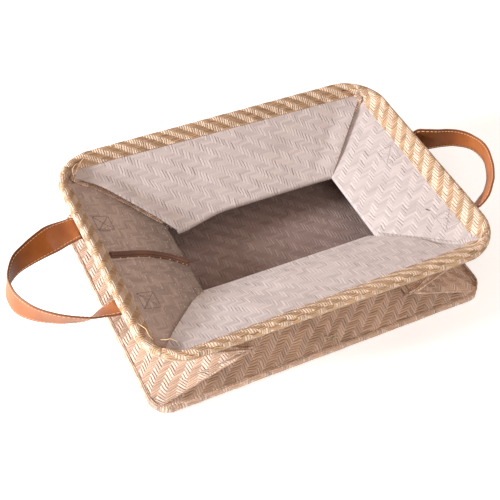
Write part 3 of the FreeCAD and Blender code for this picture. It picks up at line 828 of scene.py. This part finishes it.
# ---------------------------------------------------------------- rim
def rounded_path(half_x, half_y, corner, spacing):
    """Points evenly spaced round a rounded rectangle, with the outward direction at each."""
    straight = np.array([half_x - corner, half_y - corner])
    arc = corner * math.pi / 2
    total = 4 * straight.sum() + 4 * arc
    points, outward = [], []
    for number in range(int(total / spacing)):
        distance = total * number / int(total / spacing)
        for quarter, signs in enumerate(((1, -1), (1, 1), (-1, 1), (-1, -1))):
            run = 2 * straight[quarter % 2]
            if distance <= run + arc:
                break
            distance -= run + arc
        start = (quarter - 1) * math.pi / 2
        angle = start + max(0.0, distance - run) / corner
        onward = np.array([-math.sin(start), math.cos(start)])
        outward.append((math.cos(angle), math.sin(angle)))
        points.append(signs * straight + corner * np.array(outward[-1]) + onward * min(0.0, distance - run))
    return np.array(points, float), np.array(outward, float), total


def ring_object(name, outline, outward, total, profile, materials, wobble=0.0, seed=1):
    """A closed profile swept round an outline: profile rows are (outwards, height) and may vary along it."""
    count, sides = len(outline), profile.shape[1]
    along = np.arange(count) * total / count
    points = np.zeros((count, sides, 3))
    points[..., 0] = outline[:, 0, None] + outward[:, 0, None] * profile[..., 0]
    points[..., 1] = outline[:, 1, None] + outward[:, 1, None] * profile[..., 0]
    points[..., 2] = profile[..., 1]
    if wobble:
        points[..., 2] += wobble * ripple(along, 0 * along, seed, 120.0)[:, None]
    around = np.concatenate(
        [np.zeros((count, 1)), np.cumsum(np.linalg.norm(np.diff(profile, axis=1), axis=2), 1)], 1
    )
    cloth = np.stack([along[:, None] + 0 * around, around, 0 * around + 9.0], -1)
    faces = []
    for i in range(count):
        k = (i + 1) % count
        for j in range(sides):
            m = (j + 1) % sides
            faces.append([i * sides + j, i * sides + m, k * sides + m, k * sides + j])
    return mesh_object(name, points.reshape(-1, 3), faces, cloth.reshape(-1, 3), materials)


def make_rim():
    centre_x, centre_y = RIM_X - ROLL_RADIUS, RIM_Y - ROLL_RADIUS
    outline, outward, total = rounded_path(centre_x, centre_y, RIM_CORNER - ROLL_RADIUS, 1.6)
    count = len(outline)
    along = np.arange(count) * total / count
    angle = np.linspace(0, 2 * math.pi, 28, endpoint=False) + math.pi * 0.9
    lump = ripple(along, 0 * along, 41, 22.0)
    slow = ripple(along, 0 * along, 43, 150.0)
    radius = ROLL_RADIUS + 0.15 + 0.22 * lump + 0.3 * slow
    flutes = 0.12 * np.sin(along * 2 * math.pi / 2.1)
    profile = np.zeros((count, len(angle), 2))
    profile[..., 0] = (radius + flutes)[:, None] * np.cos(angle)
    profile[..., 1] = ROLL_Z + (radius + flutes)[:, None] * np.sin(angle) * 1.02
    roll = ring_object("rim_roll.cloth", outline, outward, total, profile, [RIM], 0.35, 5)
    turn_cloth(roll, sides_only=True)
    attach(finish_piece(roll, "rim_weave", "rim_roll"), "rim")

    outline, outward, total = rounded_path(RIM_X - 1.2, RIM_Y - 1.2, RIM_CORNER - 1.2, 1.5)
    height = ROLL_Z - ROLL_RADIUS * 0.86 + 0.35 * ripple(np.arange(len(outline)) * 1.5, 0, 12, 40.0)
    path = np.column_stack([outline, height])
    cord = mesh_object("rim_edge_cord", *tube_parts(path, 0.75, 8, closed=True), [CORD])
    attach(finish_piece(cord, "rim_weave"), "rim")


# How far the hem reaches inwards at the two ends of each wall, and its rows' turns over the roll, in degrees.
HEM_ENDS = {"front": (8.5, 18.0), "back": (13.5, 10.0), "left": (10.0, 14.5), "right": (15.5, 14.0)}
HEM_TURNS = (118, 100, 82, 64, 48)
HEM_OUTSET = 0.75


def hem_depth(x, y):
    """Height of the lining's surface over a plan point near the rim."""
    front = FRONT_TOP - (HALF_Y - np.abs(y)) / math.tan(FRONT_LEAN)
    side = SIDE_TOP - (HALF_X - np.abs(x)) / math.tan(SIDE_LEAN)
    return np.maximum(front, side) + PANEL + 1.4


def make_hem(wall):
    """Band of outer weave turned over the rim and down onto the lining, seamed at the corners' diagonals."""
    first, last = HEM_ENDS[wall]
    half_run = HALF_X if wall in ("front", "back") else HALF_Y
    half_depth = HALF_Y if wall in ("front", "back") else HALF_X
    over = ROLL_RADIUS + 0.6
    last_turn = math.radians(HEM_TURNS[-1])
    columns = 121
    s = np.linspace(-1, 1, columns)
    inner_count = 9
    tops, cloths = [], []
    for row in range(len(HEM_TURNS) + inner_count):
        k = max(0.0, (row - len(HEM_TURNS) + 1) / inner_count)
        ends = first + (last - first) * (s + 1) / 2
        if row < len(HEM_TURNS):
            angle = math.radians(HEM_TURNS[row])
            inset = np.full(columns, over * math.cos(angle) - HEM_OUTSET)
            height = np.full(columns, ROLL_Z + over * math.sin(angle))
            radius = RIM_CORNER - ROLL_RADIUS - over * math.cos(angle)
        else:
            start = over * math.cos(last_turn) - HEM_OUTSET
            inset = start + (ends * 0.94 - start) * k
            height = None
            radius = (RIM_CORNER - 8.0) * (1 - k) ** 1.2 + 4.0
        run = half_run - inset
        deep = half_depth - inset
        arc = radius * math.pi / 4
        straight = run - radius
        along = s * (straight + arc)
        theta = np.clip((np.abs(along) - straight) / radius, 0, None)
        across = np.sign(s) * np.where(theta > 0, straight + radius * np.sin(theta), np.abs(along))
        back = deep - radius * (1 - np.cos(theta))
        if wall == "front":
            x, y = across, -back
        elif wall == "back":
            x, y = -across, back
        elif wall == "right":
            x, y = back, across
        else:
            x, y = -back, -across
        if height is None:
            start_z = ROLL_Z + over * math.sin(last_turn)
            surface = hem_depth(x, y)
            height = np.maximum(start_z + (surface - start_z) * min(1.0, k * 1.15), surface)
        tops.append(np.stack([x, y, height], -1))
        cloths.append(np.stack([along, np.full(columns, row * 1.9), np.full(columns, 130.0)], -1))
    top, cloth = np.array(tops), np.array(cloths)
    top[:, :, 2] += 0.25 * ripple(top[..., 0], top[..., 1], 61, 30.0)
    below = top - np.array([0, 0, 1.0])
    hem = mesh_object(f"{wall}_hem.band", *slab_parts(below, top, cloth), [RIM])
    turn_cloth(hem, sides_only=True)
    finish_piece(hem, "outer_weave", f"{wall}_hem")
    origin, _, y_axis, _ = wall_axes(wall, "upper")
    flat = np.array([y_axis[0], y_axis[1], 0]) / math.hypot(y_axis[0], y_axis[1])
    start = origin + flat * 1.0
    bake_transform(hem)


# ---------------------------------------------------------------- base
def make_base():
    outline, outward, total = rounded_path(HALF_X, HALF_Y, BASE_CORNER - 1.4, 2.5)
    round_back = BACK_BASE_CORNER - 1.4
    centre = np.sign(outline) * np.array([HALF_X - round_back, HALF_Y - round_back])
    reach = outline - centre
    distance = np.linalg.norm(reach, axis=1, keepdims=True)
    beyond = (np.abs(outline) > np.abs(centre)).all(axis=1) & (outline[:, 1] > 0)
    outline[beyond] = (centre + reach * round_back / distance)[beyond]
    outward[beyond] = (reach / distance)[beyond]
    sideways = smooth(np.abs(outward[:, 0]) ** 2)
    lip = FRONT_LOW + 0.7 + (SIDE_LOW - FRONT_LOW) * sideways
    along = np.arange(len(outline)) * total / len(outline)
    bulge = 1.6 + 1.4 * (1 - sideways) + 0.35 * ripple(along, 0 * along, 31, 70.0)
    bulge = bulge - RIGHT_SHORT * sideways * (outline[:, 0] > 0)
    rows = [
        (-9.0, 0.0, 0), (-4.0, 0.0, 0), (-1.2, 0.35, 0), (0.4, 1.3, 0), (1.0, 2.8, 0), (1.0, 0.55, 1),
        (0.7, 0.8, 1), (0.1, 0.95, 1), (-0.7, 1.0, 1), (-1.3, 0.9, 1), (-1.5, 0.6, 1), (-1.6, 3.6, 0),
        (-9.0, 3.0, 0),
    ]
    profile = np.zeros((len(outline), len(rows), 2))
    for row, (out, level, kind) in enumerate(rows):
        profile[:, row, 0] = out + (bulge - 1.0 if out > 0.3 else 0.0)
        profile[:, row, 1] = lip * level if kind else level
    tray = ring_object("base_cover.edge", outline, outward, total, profile, [OUTER])
    turn_cloth(tray, sides_only=True)
    finish_piece(tray, "outer_weave", "base_cover")
    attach(tray, "base")
    sheet_object("base_cover.underside", 0.05, 1.2, 6.0, OUTER)
    inset = 4.0
    # The floor lining is the darker copy in painted shade.
    lining = sheet_object(
        "base_lining.cloth", FLOOR_TOP - 0.6, FLOOR_TOP + 0.3, inset, FLOOR_LINING_PAINTED_SHADE, 1.0
    )
    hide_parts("base_lining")
    board = sheet_object("base_board.sheet", 1.3, 2.9, 10.0, BOARD)
    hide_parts("base_board")


def sheet_object(name, low, high, inset, material, swell=0.0):
    """A flat rounded rectangle of cloth or board over the base."""
    rows, columns = 90, 120
    y = np.linspace(-1, 1, rows) * (HALF_Y - inset)
    corner = BASE_CORNER - inset
    depth = np.maximum(np.abs(y) - (HALF_Y - inset - corner), 0)
    reach = HALF_X - inset - corner + np.sqrt(np.maximum(corner**2 - depth**2, 4.0))
    across = np.linspace(-1, 1, columns)
    x = across[None] * reach[:, None]
    x = np.where(x > 0, x * (1 - RIGHT_SHORT / HALF_X), x)
    grid_y = y[:, None] + 0 * x
    lift = swell * (0.5 * ripple(x, grid_y, 77, 110.0) + 0.5) * (1 - np.abs(across) ** 6)[None]
    bottom = np.stack([x, grid_y, low + 0 * x], -1)
    top = np.stack([x, grid_y, high + lift], -1)
    cloth = np.stack([x, grid_y, 0 * x + 2.0], -1)
    obj = mesh_object(name, *slab_parts(bottom, top, cloth), [material])
    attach(obj, "base")
    return obj


# ---------------------------------------------------------------- strap handles
def catmull(keys, steps):
    """Smooth path through rows of key values."""
    keys = np.asarray(keys, float)
    padded = np.concatenate([[2 * keys[0] - keys[1]], keys, [2 * keys[-1] - keys[-2]]])
    rows = []
    for index in range(1, len(padded) - 2):
        p0, p1, p2, p3 = padded[index - 1 : index + 3]
        for t in np.linspace(0, 1, steps, endpoint=False):
            bend = (2 * p0 - 5 * p1 + 4 * p2 - p3) * t * t
            rows.append(0.5 * (2 * p1 + (p2 - p0) * t + bend + (3 * p1 - p0 - 3 * p2 + p3) * t**3))
    rows.append(padded[-2])
    return np.array(rows)


# Strap route, from the back attachment to the front one: x outwards, y, z, tilt of the width in degrees (0 is
# flat and 90 upright), and width.
STRAP_ROUTES = {
    "left": [
        (184, 48.5, 71.5, 10, 24), (190.4, 49, 75.5, 6, 26), (200, 48.2, 75.3, 12, 26),
        (211, 45.8, 76, 26, 26),
        (226, 41.5, 76.2, 56, 26), (243, 35, 76, 74, 26), (259, 26, 75.8, 86, 26), (271.5, 9.5, 74, 98, 26),
        (273, -7, 73.3, 99, 26), (269, -20.5, 73.5, 94, 26), (257, -36.7, 74.4, 80, 26),
        (238, -51.3, 75.5, 68, 26), (217, -57.7, 73, 55, 26), (201, -57.2, 74, 33, 25.5),
        (189.5, -57.2, 75.5, 18, 26), (184, -56.8, 71.5, 14, 24),
    ],
    "right": [
        (186, 31.5, 69, 64, 16), (194.6, 30.5, 73.8, 70, 26), (202, 27, 76.5, 82, 26),
        (211, 23.3, 77.3, 88, 26),
        (222, 20.8, 77, 92, 26), (235, 16, 76.3, 99, 26), (247, 6.5, 75, 106, 26), (251, -7, 75.2, 104, 26),
        (249, -21, 75.2, 99, 26), (240, -40, 74.2, 90, 26), (228, -54.8, 74.5, 80, 26),
        (216, -65, 76.5, 71, 26), (204, -74, 77, 62, 26), (194.5, -77.5, 74.2, 54, 26),
        (186, -77.5, 69, 50, 16),
    ],
}


def strap_frames(side):
    """Centre, width direction, face direction and width along the strap's path."""
    sign = -1.0 if side == "left" else 1.0
    rows = catmull(STRAP_ROUTES[side], 12)
    centre = rows[:, :3] * np.array([sign, 1.0, 1.0])
    tangent = np.gradient(centre, axis=0)
    tangent /= np.linalg.norm(tangent, axis=1, keepdims=True)
    flat = np.cross(tangent, [0, 0, 1.0])
    flat /= np.linalg.norm(flat, axis=1, keepdims=True)
    if side == "right":
        flat = -flat
    up = np.cross(flat, tangent)
    up *= np.sign(up[:, 2:3])
    tilt = np.radians(rows[:, 3])[:, None]
    width_dir = flat * np.cos(tilt) + up * np.sin(tilt)
    face_dir = np.cross(tangent, width_dir)
    along = np.concatenate([[0], np.cumsum(np.linalg.norm(np.diff(centre, axis=0), axis=1))])
    return centre, width_dir, face_dir, rows[:, 4], along


def make_strap(side):
    centre, width_dir, face_dir, width, along = strap_frames(side)
    columns = 13
    across = np.linspace(-1, 1, columns)
    groove = 0.22 * np.exp(-(((np.abs(across) - 0.84) / 0.07) ** 2))
    edge = 0.35 * smooth((np.abs(across) - 0.9) / 0.1)
    grids = []
    for sign in (-1.0, 1.0):
        thick = 1.1 - groove - edge
        crumple = 0.35 * ripple(along, 0 * along, 51 if side == "left" else 53, 30.0)
        offset = sign * thick[None] + (crumple[:, None] * np.sin(across * 2.2 + 0.4)[None])
        grids.append(
            centre[:, None]
            + width_dir[:, None] * (across[None] * width[:, None] / 2)[..., None]
            + face_dir[:, None] * offset[..., None]
        )
    cloth = np.zeros((*grids[0].shape[:2], 3))
    cloth[..., 0] = along[:, None]
    cloth[..., 1] = across[None] * 13.0
    strap = mesh_object(
        f"{side}_handle_strap.loop", *slab_parts(grids[0], grids[1], cloth), [STRAP, INNER_STRAP_PAINTED_SHADE[side]]
    )
    # Faces that look in towards the bin take the inner strap leather with its painted shade.
    middle = centre[len(centre) // 2]
    for polygon in strap.data.polygons:
        spot = np.array(polygon.center) / MM
        nearest = np.argmin(np.linalg.norm(centre - spot, axis=1))
        inward = np.array([-math.copysign(1.0, middle[0]) * 150 + middle[0], -5.0, 0.0]) - spot
        facing = np.dot(np.array(polygon.normal), face_dir[nearest])
        polygon.material_index = int(facing * np.dot(face_dir[nearest], inward) > 0 and abs(facing) > 0.7)
    finish_piece(strap, "handle_strap", f"{side}_handle_strap")
    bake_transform(strap)

    dashes = []
    pitch = 3.6
    for line in (-0.84, 0.84):
        for sign in (-1.0, 1.0):
            distance = 4.0
            while distance + 2.4 < along[-1] - 4:
                rows = []
                for step in np.linspace(0, 2.3, 4):
                    at = distance + step
                    place, wide, face = (
                        np.array([np.interp(at, along, values[:, axis]) for axis in range(3)])
                        for values in (centre, width_dir, face_dir)
                    )
                    half = np.interp(at, along, width) / 2
                    rows.append(place + wide * line * half + face * sign * 1.02)
                dashes.append(tube_parts(rows, 0.32, 6))
                distance += pitch
    stitching = mesh_object(f"{side}_handle_edge_stitches", *join_parts(dashes), [PALE_THREAD])
    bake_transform(stitching)


def make_strap_ends(side):
    """Sewn-down strap ends on the outside, and the crossed box stitches that show on the lining."""
    axes = wall_axes(side, "upper")
    route = STRAP_ROUTES[side]
    tabs, dashes = [], []
    for y_centre in (route[1][1], route[-2][1]):
        u0 = y_centre * axes[1][1]
        box = u0 - (3.0 if side == "left" else 0.0)
        v, across = np.meshgrid(np.linspace(1.0, 42.0, 22), np.linspace(-13.0, 13.0, 11), indexing="ij")
        cloth = np.stack([v, across, 0 * v], -1)
        faces = [on_wall(axes, u0 + across, v, level) for level in (-2.1, 0.2)]
        tabs.append(slab_parts(*faces, cloth))
        v0, v1 = (19.0, 36.5) if u0 > 0 else (14.5, 32.0)
        corners = [(-10.0, v0), (10.0, v0), (10.0, v1), (-10.0, v1)]
        runs = [(0, 1), (1, 2), (2, 3), (3, 0), (0, 2), (1, 3)]
        for a, b in runs:
            start, end = np.array(corners[a]), np.array(corners[b])
            length = np.linalg.norm(end - start)
            for begin in np.arange(0.3, length - 1.5, 2.8):
                rows = []
                for step in np.linspace(0, 2.0, 4):
                    place = start + (end - start) * (begin + step) / length
                    spot = box + place[0]
                    y_end = math.copysign(1.0, axes[1][1] * spot)
                    swell = 0.8 * ripple(abs(spot) * y_end, place[1], SEEDS[side], 80.0) + 0.7
                    depth = PANEL + swell * math.sin(math.pi * place[1] / SIDE_HALF)
                    depth += 0.22 * math.sin(math.pi * step / 2.0)
                    rows.append(on_wall(axes, spot, place[1], depth))
                dashes.append(tube_parts(rows, 0.3, 6))
    ends = mesh_object(f"{side}_handle_ends.tabs", *join_parts(tabs), [STRAP])
    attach(finish_piece(ends, "handle_strap", f"{side}_handle_ends"), f"{side}_upper")
    colour = THREAD if side == "left" else MATCHED_THREAD
    thread = mesh_object(f"{side}_handle_stitches.thread", *join_parts(dashes), [colour])
    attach(finish_piece(thread, "thread", f"{side}_handle_stitches"), f"{side}_upper")


# ---------------------------------------------------------------- bound seam in the left wall
SEAM_KEYS = {
    "upper": [(13.0, 6.9), (27.0, 6.2), (49.7, 5.4), (71.3, 0.8), (84.5, -5.3), (91.5, -9.5)],
    "lower": [(91.0, -9.5), (70.0, -7.0), (40.0, -1.0), (10.0, 2.0)],
}


def make_binding(half):
    origin, x_axis, y_axis, z_axis = wall_axes("left", half)
    keys = catmull([(v, y * x_axis[1], 0) for v, y in SEAM_KEYS[half]], 10)
    v, u = keys[:, 0], keys[:, 1]
    swell = 1.1 * np.sin(math.pi * np.clip(v, 0, SIDE_HALF) / SIDE_HALF)
    spine = origin + u[:, None] * x_axis + v[:, None] * y_axis
    parts = []
    for offset, radius, lift in ((0.0, 2.2, 1.2), (-2.9, 1.5, 0.3), (2.6, 1.4, 0.2)):
        path = spine + z_axis * (PANEL + swell + lift)[:, None] + x_axis * offset
        parts.append(tube_parts(path, radius, 10))
    binding = mesh_object(f"left_{half}_seam_binding.tape", *join_parts(parts), [BINDING])
    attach(finish_piece(binding, "seam_binding", f"left_{half}_seam_binding"), f"left_{half}")
    if half == "upper":
        # Pale dots of painted light along the seam, where light shows through its needle holes.
        dots = []
        for index in range(6, len(v) - 4, 5):
            place = spine[index] + x_axis * -4.2 * np.sign(x_axis[1]) + z_axis * (PANEL + swell[index] + 0.1)
            rows = [place + y_axis * step for step in (0.0, 0.5, 1.0)]
            dots.append(tube_parts(rows, 0.55, 6))
        holes = mesh_object("left_seam_pinhole_light", *join_parts(dots), [PALE_THREAD])
        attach(finish_piece(holes, "thread"), "left_upper")


# ---------------------------------------------------------------- loose yarns
LOOSE_YARNS = {
    "front_left_corner": ("rim", 0.42, 0, [
        [(-182, -88, 84.5), (-180.5, -94, 87), (-178.5, -99, 87.2), (-178.5, -105, 86.4), (-176, -110, 83.5)],
        [(-170, -111, 82.5), (-166, -115, 85.2), (-162, -116.5, 86.0), (-157.5, -121, 84.5)],
        [(-175, -121, 84), (-172, -124, 86.3), (-167, -125, 85)],
    ]),
    "back_left_corner": ("rim", 0.45, 0, [
        [(-168, 113, 82.5), (-162, 120, 85.5), (-156, 125, 87.3), (-150, 127.4, 87.0), (-146, 125, 84)],
        [(-171, 110, 83), (-169, 117, 86.5), (-163, 122, 87), (-158, 121, 84)],
    ]),
    "front_knot": ("front_lower", 0.75, 1, [
        [(-3, -123.5, 11.0), (0, -125, 13.2), (3, -127, 13.0), (6, -128.5, 11.0)],
        [(1, -129, 10.3), (3.5, -126.5, 13.4), (8, -127.5, 13.8), (10, -129.5, 12.6)],
        [(5, -131, 9.6), (7, -129, 12.4), (12, -130, 12.6)],
    ]),
    "back_rim_nick": ("rim", 0.7, 2, [[(149, 125.5, 84.3), (152, 124.8, 84.9), (155, 124.0, 84.2)]]),
    "right_lining_speck": ("right_upper", 0.5, 2, [
        [(151.5, -53, 64.9), (152, -55, 65.2), (154, -57.5, 65.6)],
    ]),
}


def make_loose_yarns(name):
    body, radius, tone, curves = LOOSE_YARNS[name]
    parts = []
    for points in curves:
        path = catmull(points, 8)
        thickness = radius * np.sin(np.linspace(0.35, math.pi - 0.35, len(path)))
        parts.append(tube_parts(path, thickness, 8))
    yarn = mesh_object(f"{name}.yarn", *join_parts(parts), [(PALE_THREAD, CORD, BINDING)[tone]])
    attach(yarn, body)


# ---------------------------------------------------------------- stage
def make_stage():
    floor_material, n, shader = new_material("pale floor")
    place = n.add("ShaderNodeTexCoord").outputs["Object"]
    grain = n.noise(place, 12.0, 3.0).outputs["Fac"]
    n.plug(n.mix(grain, (0.93, 0.93, 0.93, 1.0), (0.95, 0.95, 0.95, 1.0)), shader.inputs["Base Color"])
    shader.inputs["Roughness"].default_value = 0.9
    shader.inputs["Emission Color"].default_value = (0.82, 0.95, 1.0, 1.0)
    shader.inputs["Emission Strength"].default_value = 0.42
    mesh = bpy.data.meshes.new("floor")
    size = 6.0
    corners = [(-size, -size, 0), (size, -size, 0), (size, size, 0), (-size, size, 0)]
    mesh.from_pydata(corners, [], [(0, 1, 2, 3)])
    floor = bpy.data.objects.new("floor", mesh)
    bpy.context.scene.collection.objects.link(floor)
    mesh.materials.append(floor_material)

    world = bpy.data.worlds.new("studio")
    bpy.context.scene.world = world
    world.use_nodes = True
    background = world.node_tree.nodes["Background"]
    background.inputs[0].default_value = (1.0, 0.80, 0.68, 1.0)
    background.inputs[1].default_value = 0.66

    def area(name, place, target, size, power, colour):
        data = bpy.data.lights.new(name, "AREA")
        data.shape = "DISK"
        data.size = size
        data.energy = power
        data.color = colour
        lamp = bpy.data.objects.new(name, data)
        lamp.location = place
        direction = Vector(target) - Vector(place)
        lamp.rotation_euler = direction.to_track_quat("-Z", "Y").to_euler()
        bpy.context.scene.collection.objects.link(lamp)

    area("key", (-2.05, 0.3, 0.8), (0, 0, 0.03), 0.6, 80.0, (0.95, 0.97, 1.0))
    area("front", (-0.2, -1.65, 1.25), (0, 0, 0.03), 0.7, 9.0, (1.0, 0.95, 0.9))
    bpy.context.scene.view_settings.view_transform = "Standard"


def make_camera():
    """Camera set by azimuth, elevation and roll about its aim point."""
    azimuth, elevation, roll = math.radians(-30.78), math.radians(48.31), math.radians(6.0)
    aim = np.array([-0.0331, -0.0185, 0.0451])
    distance = 1.0144
    level = math.cos(elevation)
    back = np.array([math.sin(azimuth) * level, -math.cos(azimuth) * level, math.sin(elevation)])
    right = np.array([math.cos(azimuth), math.sin(azimuth), 0.0])
    up = np.cross(back, right)
    turned_right = math.cos(roll) * right + math.sin(roll) * up
    turned_up = -math.sin(roll) * right + math.cos(roll) * up
    place = aim + back * distance
    data = bpy.data.cameras.new("camera")
    data.sensor_width = 36.0
    data.lens = 72.48
    data.clip_start = 0.05
    camera = bpy.data.objects.new("camera", data)
    matrix = Matrix.Identity(4)
    for row in range(3):
        matrix[row][0], matrix[row][1], matrix[row][2] = turned_right[row], turned_up[row], back[row]
        matrix[row][3] = place[row]
    camera.matrix_world = matrix
    bpy.context.scene.collection.objects.link(camera)
    bpy.context.scene.camera = camera


make_camera()
make_stage()
for wall in ("front", "back"):
    for half in HALVES:
        make_long_wall(wall, half)
for side in ("left", "right"):
    for half in HALVES:
        make_side_wall(side, half)
        for end in (-1, 1):
            make_gusset(side, half, end)
            make_crease_flap(side, half, end)
    make_strap(side)
    make_strap_ends(side)
for wall in WALL_TURN:
    for half in HALVES:
        make_board(wall, half)
for half in HALVES:
    make_binding(half)
make_rim()
for name in LOOSE_YARNS:
    make_loose_yarns(name)
for wall in WALL_TURN:
    make_hem(wall)
make_base()
frame["nodes"]["rim_wire"].data.materials.clear()
frame["nodes"]["rim_wire"].data.materials.append(WIRE)
